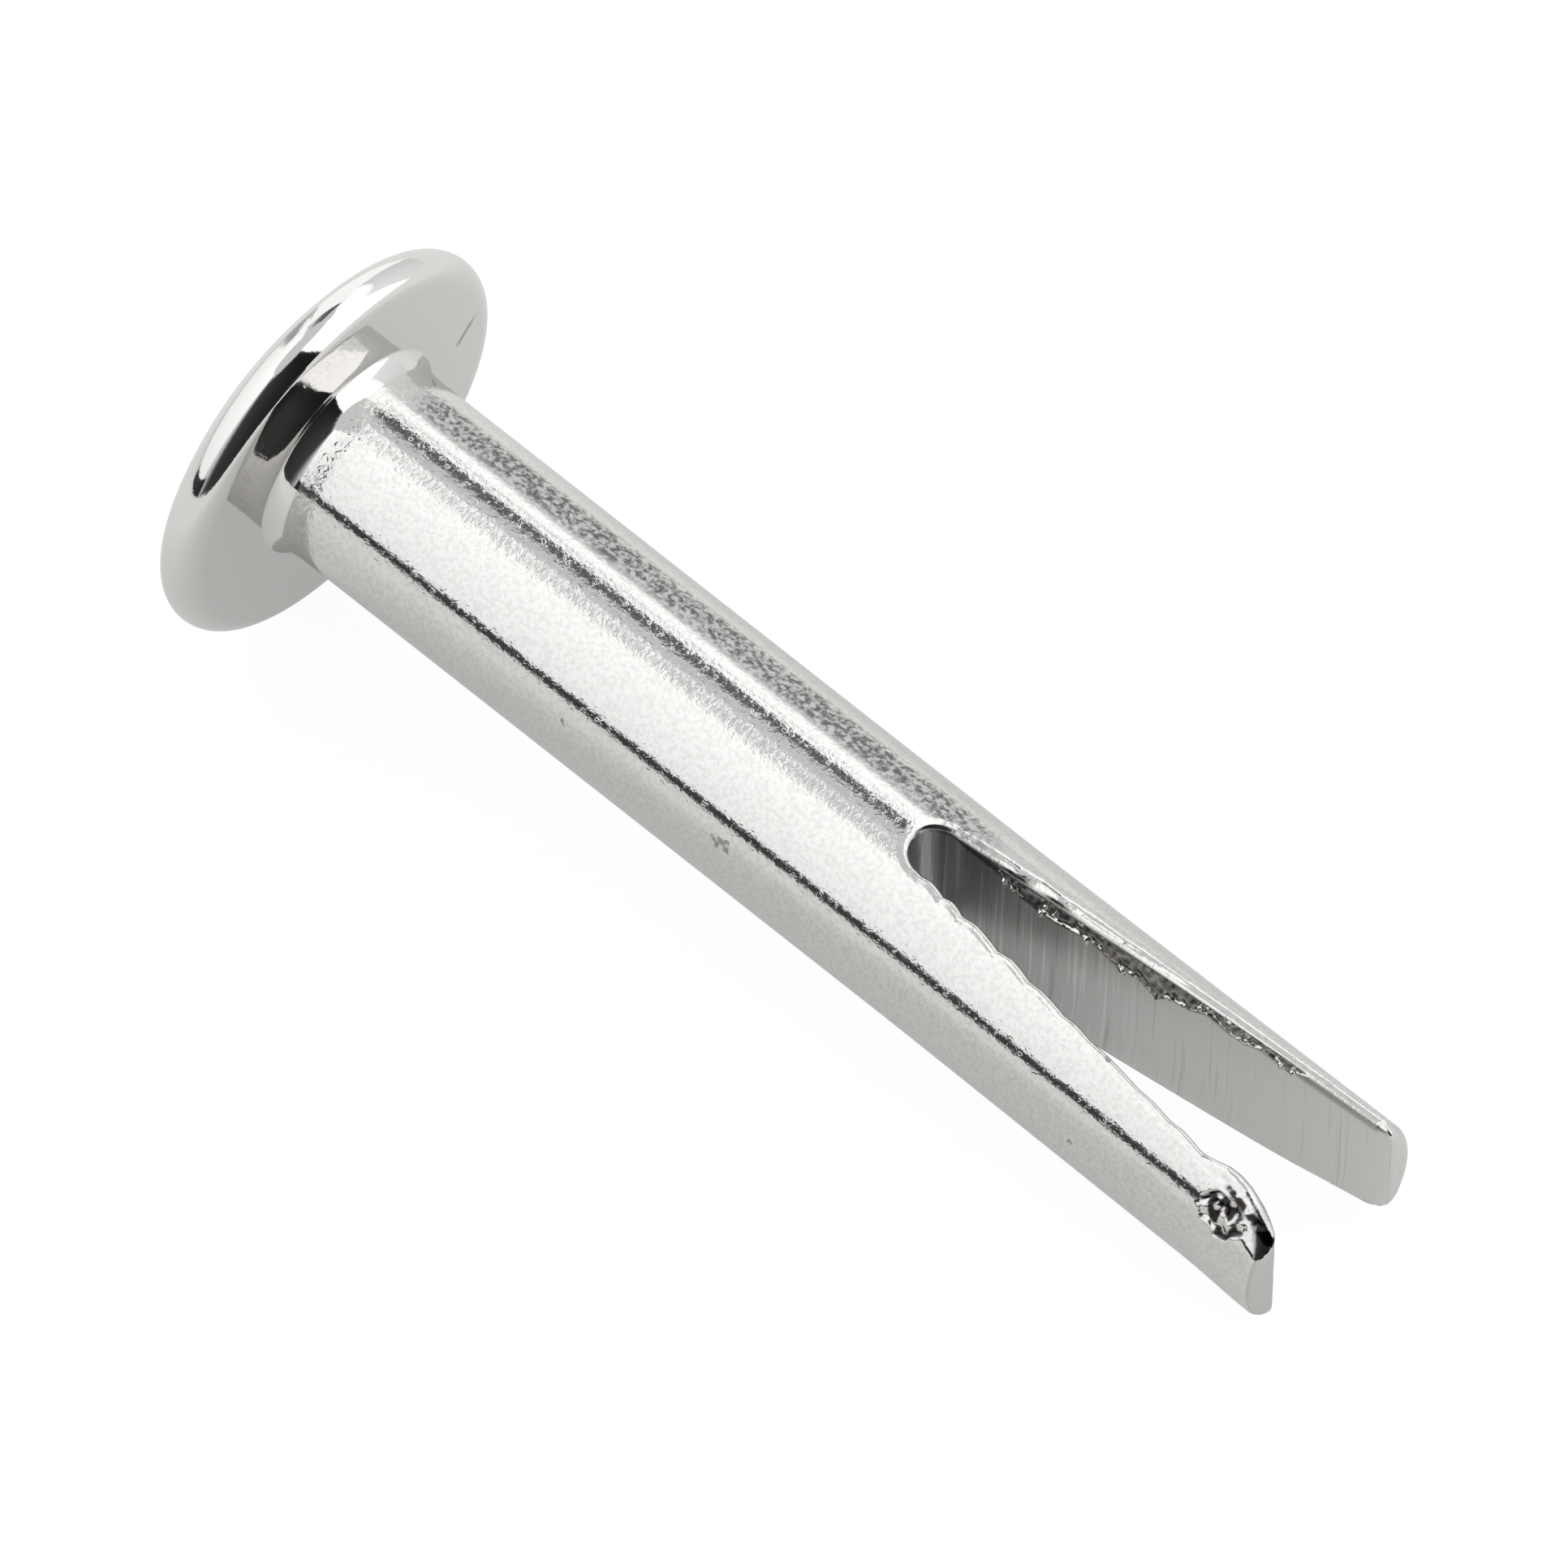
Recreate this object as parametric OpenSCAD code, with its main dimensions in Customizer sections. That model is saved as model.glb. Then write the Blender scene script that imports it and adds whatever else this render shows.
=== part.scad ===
// Split rivet: a domed head on a round shank whose end is slotted into two prongs.
// The rivet lies on its side, on the rim of its head and the lower corners of its two tips.
// X runs from head to tips, Z is up, and z = 0 is the surface that it lies on.

/* [Head] */
// Diameter of the head
head_d = 7.5; // [6.4:0.1:9.5]
// Height of the head, from its bearing face to its crown
head_h = 1.6; // [1.3:0.05:2.4]
// Radius of the rolled rim round the head
rim_r = 0.42; // [0.25:0.01:0.5]
// How far the head sits off the shank's axis, as cold heading leaves it
head_offset = 0.1; // [0:0.02:0.2]

/* [Shank] */
// Diameter of the shank
shank_d = 3.7; // [3.3:0.1:4.5]
// Length of the rivet under its head
length = 22; // [17:0.5:30]
// Length of the flare where the shank meets the head
flare_l = 0.36; // [0.2:0.02:0.6]
// How far the flare stands out from the shank
flare_w = 0.13; // [0.06:0.01:0.18]

/* [Slot and prongs] */
// Width of the slot at its closed end
slot_w = 0.94; // [0.7:0.02:1.3]
// Depth of the slot, from the tips to its closed end
slot_depth = 9.35; // [7:0.05:12]
// Thickness of each prong at its tip
tip_t = 0.53; // [0.35:0.01:0.8]
// How far each tip has sprung outwards
spring = 0.09; // [0.04:0.01:0.2]

/* [Tips] */
// Radius of the upper and lower corners of each tip
corner_r = 0.6; // [0.3:0.02:0.8]
// Radius of the outer edge round each tip
edge_r = 0.28; // [0.15:0.01:0.4]
// Length of the sheared bevel on one prong's upper corner
bevel_l = 1; // [0.6:0.05:1.6]
// Drop of that bevel
bevel_drop = 0.42; // [0.3:0.02:0.7]

/* [Hidden] */
$fn = 96;

head_r = head_d / 2;
shank_r = shank_d / 2;
past = 1; // how far a cutting shape runs past what it cuts

// The dome is an arc that passes the crown at head_h and runs tangent into the rim's arc
rim_at = head_r - rim_r;
dome_drop = head_h - rim_r;
dome_r = (pow(dome_drop, 2) - pow(rim_r, 2) + pow(rim_at, 2)) / (2 * (dome_drop - rim_r));
dome_angle = asin(rim_at / (dome_r - rim_r));

// The flare is a hollow arc that leaves the shank tangent and stops at the bearing face
flare_r = (pow(flare_l, 2) + pow(flare_w, 2)) / (2 * flare_w);

// The slot ends in a half round, and its walls run tangent from there to the tips
slot_r = slot_w / 2;
slot_x = length - slot_depth + slot_r;
prong_l = length - slot_x;
tip_gap = shank_r + spring - tip_t;
wall_angle = atan2(tip_gap, prong_l) - asin(slot_r / norm([prong_l, tip_gap]));

// Each prong has sprung outwards about the centre of the slot's half round
spring_angle = atan2(spring, prong_l);

// The arc that rounds a tip's corner meets the prong's long edge at this angle from upright
corner_meets = 18;
corner_x = length - corner_r;
meet_x = corner_x + corner_r * sin(corner_meets);
meet_z = half_height(meet_x);
corner_z = meet_z - corner_r * cos(corner_meets);

// Lying down, one straight line touches the rim's arc and the lowest point of the prongs
rest_steps = 40;
rest_tilt = min([
    for (i = [0:rest_steps])
        let (x = slot_x + (meet_x - slot_x) * i / rest_steps)
            lean(x, i == 0 ? shank_r : half_height(x))
]);
rest_z = rim_at * cos(rest_tilt) - rim_r * sin(rest_tilt) + rim_r;
crown_x = (dome_r - head_h) * cos(rest_tilt) - dome_r;
tip_x = corner_x * cos(rest_tilt) + corner_z * sin(rest_tilt) + corner_r;

// The outer edge's arc stands out a little from the prongs, so it fades towards their corners
edge_out = edge_r / 5;

// Distance from the rivet's middle plane to a wall of the slot
function slot_gap(x) = slot_r / cos(wall_angle) + (x - slot_x) * tan(wall_angle);

// Half the height of a prong along its wall of the slot
function half_height(x) =
    let (sprung = (x - slot_x) * tan(spring_angle))
    sqrt(pow(shank_r, 2) - pow((slot_gap(x) - sprung) * cos(spring_angle), 2));

// Slope of a line that touches the rim's arc and a point x along the axis and z below it
function lean(x, z) =
    atan2(rim_at - z, x + rim_r) + asin(rim_r / norm([x + rim_r, rim_at - z]));

// Turn a half profile, drawn as [radius, distance towards the tips], round the rivet's axis
module turned() {
    rotate([0, 90, 0])
        rotate_extrude()
            children();
}

// Half profile of the head: bearing face at 0, crown at -head_h
module head_profile() {
    dome_at = [0, dome_r - head_h];
    through_rim = [sin(dome_angle), -cos(dome_angle)];
    intersection() {
        translate(dome_at)
            circle(r = dome_r, $fn = 4 * $fn);
        polygon([
            [0, 0],
            [rim_at, 0],
            dome_at + dome_r * through_rim,
            dome_at + (dome_r + past) * through_rim,
            dome_at - [0, dome_r + 2 * past]
        ]);
    }
    translate([rim_at, -rim_r])
        circle(r = rim_r);
}

// Half profile of the shank, from inside the head to just inside the prongs
module shank_profile() {
    buried = head_h / 2;
    translate([0, -buried])
        square([shank_r, buried + slot_x + past]);
    difference() {
        translate([0, -buried])
            square([shank_r + 2 * flare_w, flare_l + buried]);
        translate([shank_r + flare_r, flare_l])
            circle(r = flare_r);
    }
}

// Outline of a prong seen from the side, with rounded upper and lower corners at its tip
module prong_outline() {
    slope = corner_meets / 2;
    top = shank_r + past;
    arc_end = [corner_x, corner_z] + corner_r * [sin(slope), cos(slope)];
    run_back = (top - arc_end.y) / tan(slope);
    upper = [
        [length, corner_z],
        arc_end,
        [arc_end.x - run_back, top],
        [min(arc_end.x - run_back, slot_x) - past, top]
    ];
    lower = [for (i = [len(upper) - 1:-1:0]) [upper[i].x, -upper[i].y]];
    polygon(concat(upper, lower));
    for (side = [-1, 1])
        translate([corner_x, side * corner_z])
            circle(r = corner_r);
}

// One prong before the slot is cut: a side of the shank, sprung outwards
module prong_blank() {
    inner_y = slot_r / 2;
    intersection() {
        translate([slot_x, 0, 0])
            rotate([0, 90, spring_angle])
                translate([0, 0, -past])
                    cylinder(r = shank_r, h = prong_l + 2 * past);
        translate([0, inner_y, 0])
            rotate([-90, 0, 0])
                linear_extrude(shank_r + past)
                    prong_outline();
    }
}

// The slot, seen from above, cut right through
module slot() {
    arc_end = slot_r * [-sin(wall_angle), cos(wall_angle)];
    far = [prong_l + past, slot_gap(length + past)];
    translate([slot_x, 0, -shank_r - past])
        linear_extrude(shank_d + 2 * past) {
            polygon([arc_end, far, [far.x, -far.y], [arc_end.x, -arc_end.y]]);
            circle(r = slot_r);
        }
}

// What rounding the outer edge of the tips takes away
module tip_edge() {
    arc_at = [shank_r + spring + edge_out - edge_r, length - edge_r];
    turned()
        difference() {
            translate(arc_at)
                square([edge_r + past, edge_r + past]);
            translate(arc_at)
                circle(r = edge_r);
        }
}

// What the sheared bevel takes from the upper corner of one prong
module bevel() {
    from = [length - bevel_l, meet_z];
    slide = [bevel_l, -bevel_drop];
    top = shank_r + past;
    rotate([90, 0, 0])
        linear_extrude(shank_r + past)
            polygon([
                from - slide,
                from + 2 * slide,
                [from.x + 2 * slide.x, top],
                [from.x - slide.x, top]
            ]);
}

// Lay the rivet down from its own axis to where it rests, with its middle over the origin
module lying() {
    translate([-(crown_x + tip_x) / 2, 0, rest_z])
        rotate([0, rest_tilt, 0])
            children();
}

module rivet() {
    color("silver")
        lying()
            difference() {
                union() {
                    translate([0, -head_offset, 0])
                        turned()
                            head_profile();
                    turned()
                        shank_profile();
                    for (side = [0, 1])
                        mirror([0, side, 0])
                            prong_blank();
                }
                slot();
                tip_edge();
                bevel();
            }
}

rivet();
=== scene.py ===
import math

import bpy
import numpy as np
from mathutils import Matrix, Vector


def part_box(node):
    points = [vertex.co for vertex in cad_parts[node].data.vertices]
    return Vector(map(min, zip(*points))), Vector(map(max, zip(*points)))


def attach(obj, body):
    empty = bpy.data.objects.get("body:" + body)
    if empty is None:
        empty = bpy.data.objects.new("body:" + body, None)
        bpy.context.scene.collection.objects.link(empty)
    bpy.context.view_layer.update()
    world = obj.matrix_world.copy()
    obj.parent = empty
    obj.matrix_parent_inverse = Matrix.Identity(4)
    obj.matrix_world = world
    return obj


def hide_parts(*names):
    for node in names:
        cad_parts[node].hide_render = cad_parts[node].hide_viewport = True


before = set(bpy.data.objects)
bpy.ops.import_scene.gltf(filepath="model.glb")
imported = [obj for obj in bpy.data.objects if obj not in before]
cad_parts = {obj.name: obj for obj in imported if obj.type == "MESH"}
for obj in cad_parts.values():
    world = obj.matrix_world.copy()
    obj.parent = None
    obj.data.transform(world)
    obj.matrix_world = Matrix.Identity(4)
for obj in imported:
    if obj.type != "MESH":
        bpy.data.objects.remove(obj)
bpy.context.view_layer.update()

# A bright-plated split rivet on its side, in a white studio that the metal sees as greys

# ---------------------------------------------------------------------------------------------
# Sizes in millimetres, as in part.scad
# ---------------------------------------------------------------------------------------------
HEAD_R, HEAD_H, RIM_R, HEAD_OFFSET = 3.75, 1.6, 0.42, 0.1
SHANK_R, LENGTH, FLARE_L = 1.85, 22.0, 0.36
SLOT_W, SLOT_DEPTH, TIP_T, SPRING = 0.94, 9.35, 0.53, 0.09
CORNER_R = 0.6

RIM_AT = HEAD_R - RIM_R
DOME_DROP = HEAD_H - RIM_R
DOME_R = (DOME_DROP**2 - RIM_R**2 + RIM_AT**2) / (2 * (DOME_DROP - RIM_R))
DOME_ANGLE = math.asin(RIM_AT / (DOME_R - RIM_R))
SLOT_R = SLOT_W / 2
SLOT_X = LENGTH - SLOT_DEPTH + SLOT_R
PRONG_L = LENGTH - SLOT_X
TIP_GAP = SHANK_R + SPRING - TIP_T
WALL_A = math.atan2(TIP_GAP, PRONG_L) - math.asin(SLOT_R / math.hypot(PRONG_L, TIP_GAP))
SPRING_A = math.atan2(SPRING, PRONG_L)
CORNER_MEETS = math.radians(18)
CORNER_X = LENGTH - CORNER_R
MEET_X = CORNER_X + CORNER_R * math.sin(CORNER_MEETS)
REST_STEPS = 40


def slot_gap(x):
    """Distance from the rivet's middle plane to a wall of the slot."""
    return SLOT_R / math.cos(WALL_A) + (x - SLOT_X) * math.tan(WALL_A)


def half_height(x):
    """Half the height of a prong along its wall of the slot."""
    sprung = (x - SLOT_X) * math.tan(SPRING_A)
    reach = (slot_gap(x) - sprung) * math.cos(SPRING_A)
    return np.sqrt(np.maximum(SHANK_R**2 - reach**2, 0))


def lean(x, z):
    """Slope of a line that touches the head's rim and a point x along the axis and z below it."""
    run, rise = x + RIM_R, RIM_AT - z
    return math.atan2(rise, run) + math.asin(RIM_R / math.hypot(run, rise))


CORNER_Z = half_height(MEET_X) - CORNER_R * math.cos(CORNER_MEETS)
# It rests on the head's rim and on the point of its underside that a line from there meets first
TILT = min(
    lean(x, SHANK_R if x == SLOT_X else half_height(x))
    for x in (SLOT_X + (MEET_X - SLOT_X) * i / REST_STEPS for i in range(REST_STEPS + 1))
)

# The rivet's own frame (x along its axis from the bearing face) laid down where the CAD node lies
LOW, HIGH = (Vector(c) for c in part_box("rivet"))
REST_Z = (RIM_AT * math.cos(TILT) - RIM_R * math.sin(TILT) + RIM_R) / 1000
CROWN_X = ((DOME_R - HEAD_H) * math.cos(TILT) - DOME_R) / 1000
LAID = Matrix.Translation((LOW.x - CROWN_X, 0, LOW.z + REST_Z)) @ Matrix.Rotation(TILT, 4, "Y")
AXIS = (LAID.to_3x3() @ Vector((1, 0, 0))).normalized()
UP_AXIS = (LAID.to_3x3() @ Vector((0, 0, 1))).normalized()
SIDE_AXIS = Vector((0, 1, 0))

# ---------------------------------------------------------------------------------------------
# Camera: nearly square on, looking down on the rivet from its near side
# ---------------------------------------------------------------------------------------------
VIEW_ALONG = 0.36  # cosine between the rivet's axis and the line of sight
VIEW_ROLL = math.radians(26.5)  # how far the line of sight leans to the near side of upright
AXIS_DOWN = math.radians(38.13)  # slope of the rivet's axis in the image
IMAGE_MM = 25.76  # width of the scene that the image takes in
LOOK_RIGHT, LOOK_DOWN = 7.181, 5.468  # from the bearing face's middle to the image's, in mm
DISTANCE, SENSOR_MM = 1.2, 36

across = math.sqrt(1 - VIEW_ALONG**2)
to_camera = (
    VIEW_ALONG * AXIS
    + across * math.cos(VIEW_ROLL) * UP_AXIS
    - across * math.sin(VIEW_ROLL) * SIDE_AXIS
)
along_image = (AXIS - VIEW_ALONG * to_camera).normalized()
over_image = to_camera.cross(along_image)
right = math.cos(AXIS_DOWN) * along_image + math.sin(AXIS_DOWN) * over_image
up = math.cos(AXIS_DOWN) * over_image - math.sin(AXIS_DOWN) * along_image

look_at = LAID.translation + (LOOK_RIGHT * right - LOOK_DOWN * up) / 1000
cam_data = bpy.data.cameras.new("camera")
cam_data.sensor_width = SENSOR_MM
cam_data.lens = SENSOR_MM * DISTANCE * 1000 / IMAGE_MM
cam_data.clip_start = 0.01
cam_data.clip_end = 20
cam = bpy.data.objects.new("camera", cam_data)
bpy.context.scene.collection.objects.link(cam)
turn = Matrix((right, up, to_camera)).transposed().to_4x4()
cam.matrix_world = Matrix.Translation(look_at + DISTANCE * to_camera) @ turn
bpy.context.scene.camera = cam

# ---------------------------------------------------------------------------------------------
# Shape of the slotted end, as a distance field in millimetres
# ---------------------------------------------------------------------------------------------


def smooth(lo, hi, x):
    """Smooth step from 0 at lo to 1 at hi, which may also lie below lo."""
    t = np.clip((x - lo) / (hi - lo), 0, 1)
    return t * t * (3 - 2 * t)


def round_both(a, b, r):
    """Intersection of two solids with their edge rounded to r."""
    u, v = np.maximum(r + a, 0), np.maximum(r + b, 0)
    return np.minimum(-r, np.maximum(a, b)) + np.sqrt(u * u + v * v)


def join(a, b, r):
    """Union of two solids with their hollow filled over about r."""
    h = np.clip(0.5 + 0.5 * (b - a) / r, 0, 1)
    return b + (a - b) * h - r * h * (1 - h)


WAVE_COUNT, WAVE_LENGTHS = 14, (0.13, 0.3)
rng = np.random.default_rng(7)
WAVES = rng.normal(size=(WAVE_COUNT, 3))
WAVES *= (2 * math.pi / rng.uniform(*WAVE_LENGTHS, (WAVE_COUNT, 1))) / np.linalg.norm(
    WAVES, axis=1
)[:, None]
PHASES = rng.uniform(0, 2 * math.pi, WAVE_COUNT)


def rough(p):
    """Uneven surface, about -1 to 1, with features of a sixth of a millimetre."""
    return sum(np.sin(p @ w + a) for w, a in zip(WAVES, PHASES)) / (WAVE_COUNT / 2)


# Scales pushed into the slot along its near edge: (end, base reach, reach added by the scale)
SCALES = (
    (13.25, 0.02, 0.0), (13.78, 0.03, 0.05), (14.24, 0.03, 0.055), (15.13, 0.03, 0.06),
    (15.9, 0.04, 0.06), (16.75, 0.05, 0.035), (17.4, 0.06, 0.025), (18.6, 0.07, 0.02),
    (19.3, 0.08, 0.015), (20.15, 0.08, 0.035), (20.5, 0.08, 0.0),
)
# Reach of the near lip from there on, beside the bevel: (x, reach)
TIP_LIP = ((20.5, 0.09), (20.75, 0.16), (21.1, 0.18), (21.5, 0.14), (21.9, 0.08))
# Reach of the far lip: (x, reach)
FAR_LIP = (
    (13.3, 0.0), (14.0, 0.02), (14.3, 0.06), (14.7, 0.0), (15.1, 0.05), (15.8, 0.0),
    (16.4, 0.04), (16.8, 0.0), (17.2, 0.02), (17.6, 0.05), (18.0, 0.0), (18.7, 0.04),
    (19.3, 0.01), (20.4, 0.04), (21.8, 0.05), (21.95, 0.0),
)
# How far below the far edge its wall is torn: (x, depth)
TORN = (
    (13.9, 0.2), (14.1, 0.4), (14.5, 0.62), (15.2, 0.66), (15.8, 0.54), (16.1, 0.62),
    (16.45, 0.8), (16.8, 0.67), (17.2, 0.92), (17.45, 0.7), (17.9, 0.6), (18.2, 0.42),
    (18.7, 0.54), (19.0, 0.52), (19.3, 0.36), (19.85, 0.48), (20.4, 0.2),
)
# Ridge along the near prong's bevel: (x, y, z, radius)
RIDGE = (
    (20.1, -1.17, 1.36, 0.03), (20.4, -1.14, 1.39, 0.07), (20.65, -1.12, 1.4, 0.1),
    (20.85, -1.12, 1.37, 0.115), (21.1, -1.15, 1.31, 0.12), (21.4, -1.22, 1.19, 0.12),
    (21.6, -1.28, 1.09, 0.11), (21.78, -1.35, 0.98, 0.09),
)
# Beads of metal on the torn band: (x, depth below the edge, radius)
BEADS = (
    (14.12, 0.36, 0.055), (14.28, 0.42, 0.05), (14.85, 0.6, 0.05), (14.96, 0.3, 0.055),
    (15.13, 0.4, 0.05), (15.77, 0.5, 0.05), (16.53, 0.66, 0.075), (16.75, 0.58, 0.04),
    (17.4, 0.62, 0.045), (17.5, 0.58, 0.045), (18.08, 0.26, 0.055), (18.9, 0.36, 0.05),
    (19.02, 0.3, 0.05), (19.73, 0.36, 0.045), (19.96, 0.3, 0.06),
)
BEAD_SUNK = (0.005, 0.08)  # how far a bead sits in the wall, and below its given depth

# Round stock: the prongs bend outwards over a run, the near one further at its tip
SPRING_RUN = 1.5
NEAR_BEND, NEAR_BEND_FROM, NEAR_BEND_TO = 0.05, 20.2, 21.8
# Rough, dented patch on the near prong: middle, half sizes and height
PATCH_AT, PATCH_SIZE, PATCH_HIGH = (20.95, -1.55, 1.0), (0.52, 0.42, 0.38), 0.05
# Faint crease behind the lips: place from the wall, width and height
CREASE_AT, CREASE_WIDE, CREASE_HIGH = 0.13, 0.035, 0.009
# Bevel sheared off the near prong's upper corner: a point on it and the way it faces
BEVEL_AT, BEVEL_FACES = (LENGTH - 0.1, -1.36, 1.16), np.array((0.36, -0.3, 0.88))
BEVEL_ROUND, TIP_ROUND = 0.24, 0.22
# Torn strip under the far lip: where it starts below the edge, its depth and its unevenness
TORN_FROM, TORN_DEEP, TORN_UNEVEN = (0.24, 0.3), 0.05, 0.035
TORN_FADES = (20.5, 19.2)
# Depth below the edge over which each lip dies out
NEAR_LIP_ENDS, FAR_LIP_ENDS = (0.5, 0.25), (0.2, 0.1)
# The walls come closer by this much at their lower edges
FOOT_REACH, FOOT_FROM = 0.06, (-0.7, -1.5)
# Rounding of the slot's edges at its closed end, along each wall, at the tips and underneath
ROOT_EDGE_R, NEAR_EDGE_R, FAR_EDGE_R, TIP_EDGE_R, LOWER_EDGE_R = 0.15, 0.13, 0.35, 0.07, 0.06
EDGE_GROWS, EDGE_TAPERS = (12.7, 14.3), (21.6, 21.95)
RIDGE_JOIN, BEAD_JOIN = 0.1, 0.02


def slot_field(p):
    """Distance outside the tapered slot with its round end."""
    dx, ay = p[..., 0] - SLOT_X, np.abs(p[..., 1])
    s, c = math.sin(WALL_A), math.cos(WALL_A)
    return np.where(dx * c + ay * s > 0, ay * c - dx * s, np.hypot(dx, ay)) - SLOT_R


def read_off(table, x):
    """Value at x in a table of (x, value) pairs."""
    return np.interp(x, *zip(*table))


def scales(x):
    """Reach of the near lip into the slot."""
    ends, low, high = (np.array(c) for c in zip(*SCALES))
    k = np.clip(np.searchsorted(ends, x), 1, len(ends) - 1)
    t = np.clip((x - ends[k - 1]) / (ends[k] - ends[k - 1]), 0, 1)
    arc = smooth(-0.05, 0.4, t) * (1 - t**3)
    return np.where(x > ends[-1], read_off(TIP_LIP, x), low[k] + high[k] * arc)


def patch_on(p):
    """Share, 0 to 1, of the rough, dented patch beside the near prong's bevel."""
    at = (((p - np.array(PATCH_AT)) / np.array(PATCH_SIZE)) ** 2).sum(-1)
    return smooth(1.0, 0.4, at + 0.55 * rough(p * 0.45))


def ridge_field(p):
    """Distance outside the ridge rolled up along the near prong's bevel."""
    out = np.full(p.shape[:-1], np.inf)
    for a, b in zip(np.array(RIDGE[:-1]), np.array(RIDGE[1:])):
        d = b[:3] - a[:3]
        t = np.clip((p - a[:3]) @ d / (d @ d), 0, 1)
        away = np.linalg.norm(p - a[:3] - t[..., None] * d, axis=-1)
        out = np.minimum(out, away - (a[3] + t * (b[3] - a[3])))
    return out


def prong_field(p):
    """Distance outside the shank's slotted end, with its two prongs."""
    x, y, z = p[..., 0], p[..., 1], p[..., 2]
    ay, az = np.abs(y), np.abs(z)
    near = y < 0
    dx = x - SLOT_X
    # round stock, sprung outwards from the slot's root
    bend = np.where(dx < SPRING_RUN, dx * dx / (2 * SPRING_RUN), dx - SPRING_RUN / 2)
    out = math.tan(SPRING_A) * np.where(dx < 0, 0, bend)
    out = out + np.where(near, NEAR_BEND * smooth(NEAR_BEND_FROM, NEAR_BEND_TO, x), 0)
    stock = np.sqrt((ay - out) ** 2 + z * z) - SHANK_R
    stock = stock + patch_on(p) * PATCH_HIGH * (1 + rough(p * 0.75))
    crease = slot_field(p) + np.where(near, scales(x), 0) - CREASE_AT
    stock = stock + CREASE_HIGH * np.exp(-((crease / CREASE_WIDE) ** 2)) * (z > 0)
    # outline from the side, with rounded corners at the tip
    s, c = math.sin(CORNER_MEETS / 2), math.cos(CORNER_MEETS / 2)
    qx, qz = x - CORNER_X, az - CORNER_Z
    corner = (qz > 0) & (qx * c - qz * s > 0)
    outline = np.where(corner, np.hypot(qx, qz), np.maximum(qx, qx * s + qz * c)) - CORNER_R
    body = round_both(stock, outline, TIP_ROUND)
    # the near prong's bevel falls towards the near side as well
    bevel = (p - np.array(BEVEL_AT)) @ BEVEL_FACES / np.linalg.norm(BEVEL_FACES)
    body = np.where(near, round_both(body, bevel, BEVEL_ROUND), body)
    # slot walls, pushed inwards along their edges; the far one is torn away under its upper lip
    gap = np.where(dx < 0, np.sqrt(np.maximum(SLOT_R**2 - dx * dx, 0)), slot_gap(x)) - out
    below = np.sqrt(SHANK_R**2 - gap * gap) - z
    torn = smooth(*TORN_FROM, below) * smooth(0.0, 0.05, read_off(TORN, x) - below) * (y > 0)
    torn = torn * smooth(*TORN_FADES, x)
    near_lip = scales(x) * smooth(*NEAR_LIP_ENDS, below)
    lip = np.where(near, near_lip, read_off(FAR_LIP, x) * smooth(*FAR_LIP_ENDS, below))
    foot = FOOT_REACH * smooth(*FOOT_FROM, z)
    wall = slot_field(p) - torn * (TORN_DEEP + TORN_UNEVEN * rough(p)) + lip + foot
    edge_r = np.where(near, NEAR_EDGE_R, FAR_EDGE_R) - ROOT_EDGE_R
    edge_r = ROOT_EDGE_R + smooth(*EDGE_GROWS, x) * edge_r
    edge_r = edge_r - (edge_r - TIP_EDGE_R) * smooth(*EDGE_TAPERS, x)
    field = round_both(body, -wall, np.where(z < 0, LOWER_EDGE_R, edge_r))
    field = join(field, ridge_field(p), RIDGE_JOIN)
    for at, depth, r in BEADS:
        middle = (at, slot_gap(at) - BEAD_SUNK[0], half_height(at) - depth - BEAD_SUNK[1])
        bead = np.linalg.norm(p - np.array(middle), axis=-1) - r
        field = join(field, bead, BEAD_JOIN)
    return field


def gradient(field, p, h=0.002):
    """Slope of a field at each point, over a distance of h to both sides."""
    g = np.empty_like(p)
    for i in range(3):
        q, r = p.copy(), p.copy()
        q[..., i] += h
        r[..., i] -= h
        g[..., i] = (field(q) - field(r)) / (2 * h)
    return g


JUST_INSIDE = 1e-6


def unpinched(f):
    """The field at the grid's points, with no cell face whose corners lie in and out by turns.

    The surface would touch itself there, so the nearest outer corner is taken in.
    """
    f = f.copy()
    pinched = True
    while pinched:
        pinched = False
        for i, j in ((0, 1), (0, 2), (1, 2)):
            u, v = np.eye(3, dtype=int)[[i, j]]
            last = np.array(f.shape) - u - v
            inside = f < 0
            a, b, c, d = (
                inside[o[0] : o[0] + last[0], o[1] : o[1] + last[1], o[2] : o[2] + last[2]]
                for o in (0 * u, u, u + v, v)
            )
            for at in np.argwhere((a == c) & (b == d) & (a != b)):
                corners = [tuple(at + o) for o in (0 * u, u, u + v, v)]
                outer = [k for k in corners if f[k] >= 0]
                if len(outer) == 2:
                    f[min(outer, key=lambda k: f[k])] = -JUST_INSIDE
                    pinched = True
    return f


DRAW_STEPS = 6  # steps that draw each vertex onto the surface
DRAW_SLACK = 0.35  # share of its cell by which a vertex may leave it
LEAST_SLOPE = 0.05


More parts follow.
